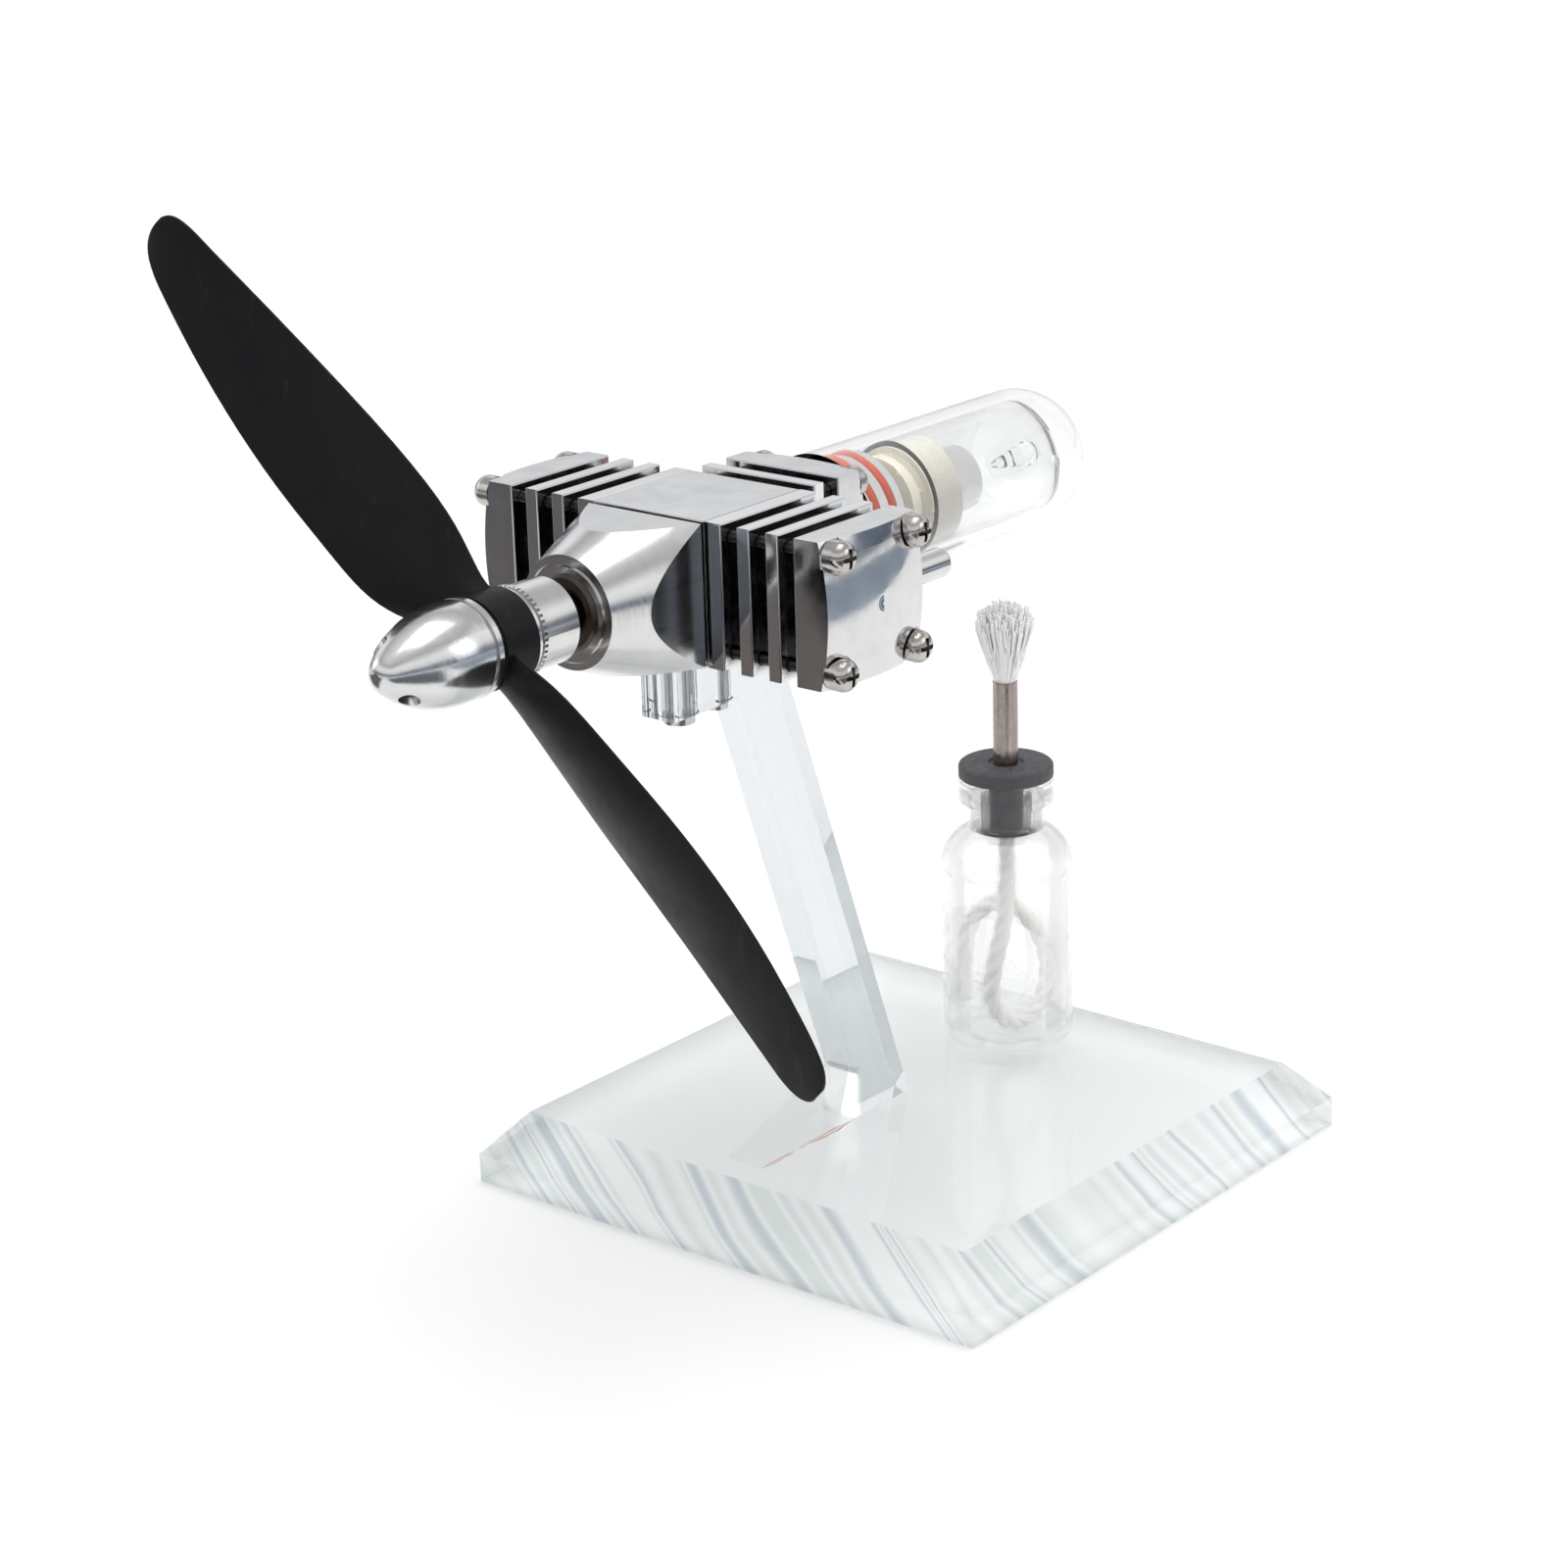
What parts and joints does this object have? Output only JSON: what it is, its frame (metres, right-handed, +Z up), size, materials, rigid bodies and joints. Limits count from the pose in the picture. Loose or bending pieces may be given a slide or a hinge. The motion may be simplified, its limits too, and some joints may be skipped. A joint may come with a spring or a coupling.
{
  "type": "model glow engine",
  "caption": "Desk-top hot-air engine shaped like a small aircraft engine: propeller, finned side cylinders, glass hot tube, spirit lamp, clear stand on a bevelled glass base.",
  "frame": {"origin": "middle of the underside of the glass base", "axes": "+Z up; the propeller faces -Y and the glass hot tube points to +Y; the cylinders lie along X"},
  "size_m": [0.0974, 0.1295, 0.1317],
  "materials": {
    "crystal_glass": "polished, optically clear",
    "clear_acrylic": "polished clear sheet",
    "polished_aluminium": "machined and brightly polished",
    "brushed_aluminium": "turned and lightly brushed",
    "polished_steel": "bright steel",
    "dark_bronze": "dark oiled bronze",
    "black_plastic": "satin black nylon",
    "bright_nut": "mirror polished",
    "red_silicone": "translucent satin silicone",
    "borosilicate_glass": "clear drawn glass",
    "cream_ptfe": "waxy fluoropolymer",
    "clear_resin": "cloudy translucent resin",
    "brown_fibre": "pressed fibre",
    "grey_graphite": "machined graphite",
    "lamp_glass": "clear moulded glass",
    "grey_rubber": "matt moulded rubber",
    "heat_tinted_steel": "heat-tinted steel",
    "white_cotton": "twisted cotton"
  },
  "bodies": {
    "frame": {"glass_base": "crystal_glass", "acrylic_stand": "clear_acrylic", "stand_screws": "polished_steel", "crankcase": "polished_aluminium", "nose_housing": "brushed_aluminium", "front_bush": "dark_bronze", "rear_bush": "dark_bronze", "cylinder_right": "polished_aluminium", "cover_right": "polished_aluminium", "cylinder_left": "polished_aluminium", "cover_left": "polished_aluminium", "cover_screws_right": "polished_steel", "cover_screws_left": "polished_steel", "gas_port_plug": "brushed_aluminium", "rear_barrel": "polished_aluminium", "tube_holder": "polished_aluminium", "holder_screws": "polished_steel", "tube_seals": "red_silicone", "hot_tube": "borosilicate_glass", "rod_gland": "cream_ptfe", "lever_pin": "polished_steel"},
    "rotor": {"propeller": "black_plastic", "spinner_nut": "bright_nut", "spinner_washer": "polished_steel", "hub_ring": "brushed_aluminium", "drive_washer": "brushed_aluminium", "shaft_collar": "polished_steel", "crankshaft": "polished_steel", "crank_web": "polished_steel", "crank_pin": "polished_steel"},
    "slider_block": {"slider_block": "dark_bronze"},
    "pin_bush": {"pin_bush": "dark_bronze"},
    "guide_roller": {"guide_roller": "dark_bronze"},
    "yoke": {"yoke": "polished_steel", "power_rod": "polished_steel", "power_piston": "grey_graphite", "guide_rod": "polished_steel", "guide_piston": "grey_graphite"},
    "displacer_lever": {"displacer_lever": "polished_steel"},
    "displacer": {"displacer_plug": "clear_resin", "displacer_washer": "brown_fibre", "displacer_boss": "brushed_aluminium", "displacer_rod": "polished_steel", "displacer_cross_pin": "polished_steel", "displacer_capsule": "borosilicate_glass"},
    "lamp": {"lamp_bottle": "lamp_glass", "wick_rope": "white_cotton"},
    "lamp_top": {"stopper": "grey_rubber", "wick_tube": "heat_tinted_steel", "wick_tuft": "white_cotton"}
  },
  "joints": [
    {"name": "propeller_spin", "type": "hinge", "parent": "frame", "child": "rotor", "pos_m": [-0.002, -0.074, 0.0882], "axis": [0, 1, 0], "continuous": true},
    {"name": "slider_block_turn", "type": "hinge", "parent": "rotor", "child": "slider_block", "pos_m": [0.001, -0.0358, 0.0882], "axis": [0, 1, 0], "continuous": true},
    {"name": "pin_bush_turn", "type": "hinge", "parent": "slider_block", "child": "pin_bush", "pos_m": [0.001, -0.0358, 0.0882], "axis": [0, 1, 0], "continuous": true},
    {"name": "guide_roller_turn", "type": "hinge", "parent": "pin_bush", "child": "guide_roller", "pos_m": [0.0025, -0.0358, 0.0882], "axis": [0, 1, 0], "continuous": true},
    {"name": "yoke_turn", "type": "hinge", "parent": "guide_roller", "child": "yoke", "pos_m": [0.001, -0.0358, 0.0882], "axis": [0, 1, 0], "continuous": true},
    {"name": "displacer_lever_swing", "type": "hinge", "parent": "frame", "child": "displacer_lever", "pos_m": [-0.002, -0.0301, 0.0838], "axis": [1, 0, 0], "range_deg": [-22, 22]},
    {"name": "displacer_slide", "type": "slide", "parent": "frame", "child": "displacer", "axis": [0, 1, 0], "range_m": [-0.00168, 0.00168]},
    {"name": "lamp_slide", "type": "slide", "parent": "frame", "child": "lamp", "axis": [1, 0, 0], "range_m": [0, 0.025]},
    {"name": "stopper_lift", "type": "slide", "parent": "lamp", "child": "lamp_top", "axis": [0, 0, 1], "range_m": [0, 0.008]}
  ],
  "couplings": [
    {"joint": "slider_block_turn", "follows": "propeller_spin", "ratio": -1},
    {"joint": "pin_bush_turn", "follows": "propeller_spin", "ratio": -1},
    {"joint": "guide_roller_turn", "follows": "propeller_spin", "ratio": 2},
    {"joint": "yoke_turn", "follows": "propeller_spin", "ratio": -1},
    {"joint": "displacer_lever_swing", "follows": "displacer_slide", "rad_per_m": -227.27}
  ]
}
